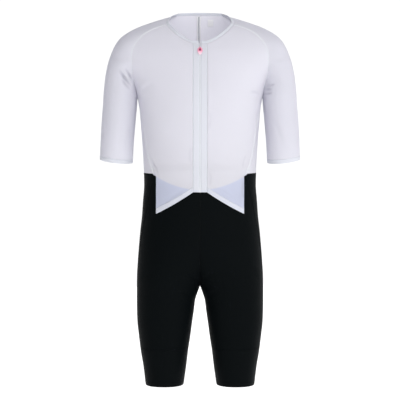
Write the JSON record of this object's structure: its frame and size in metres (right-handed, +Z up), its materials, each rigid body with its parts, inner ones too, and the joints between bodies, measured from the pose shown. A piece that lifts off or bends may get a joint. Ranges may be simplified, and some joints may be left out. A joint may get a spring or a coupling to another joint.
{
  "type": "cycling roadsuit",
  "caption": "Short-sleeved cycling one-piece: sheer white zip front with pointed tails that hang free over black shorts, filled out as worn, with hollow body, sleeves and legs.",
  "frame": {"origin": "where the wearer's shoulders hold the suit: on the middle plane, at the height of the sides of the neck opening", "axes": "+Z up, -Y the way the wearer faces, +X the wearer's left"},
  "size_m": [0.5246, 0.2419, 0.9814],
  "materials": {
    "white_mesh": "sheer matte knit",
    "white_trim": "doubled knit with topstitching",
    "black_knit": "matte stretch knit",
    "black_band": "matte elastic knit",
    "zip_coil": "moulded nylon",
    "slider_metal": "raspberry enamel over metal",
    "pull_pink": "soft moulded plastic",
    "tape": "flat woven tape",
    "label_patch": "bare soft patch"
  },
  "bodies": {
    "suit": {"front_left": "white_mesh", "front_right": "white_mesh", "back_left": "white_mesh", "back_right": "white_mesh", "sleeve_left": "white_mesh", "sleeve_right": "white_mesh", "cuff_left": "white_trim", "cuff_right": "white_trim", "hem_band_left": "white_trim", "hem_band_right": "white_trim", "zip_facing_left": "white_trim", "zip_facing_right": "white_trim", "neck_binding": "white_trim", "back_tape": "tape", "neck_label": "label_patch", "zip_chain": "zip_coil", "zip_row_left": "zip_coil", "zip_row_right": "zip_coil", "zip_slider": "slider_metal", "zip_stop": "zip_coil", "shorts_front_left": "black_knit", "shorts_front_right": "black_knit", "shorts_back_left": "black_knit", "shorts_back_right": "black_knit", "leg_band_left": "black_band", "leg_band_right": "black_band"},
    "pull_tab": {"pull_tab": "pull_pink"}
  },
  "joints": [
    {"name": "tab_swing", "type": "hinge", "parent": "suit", "child": "pull_tab", "pos_m": [0, -0.08304, -0.08061], "axis": [-1, 0, 0], "range_deg": [0, 150]}
  ]
}
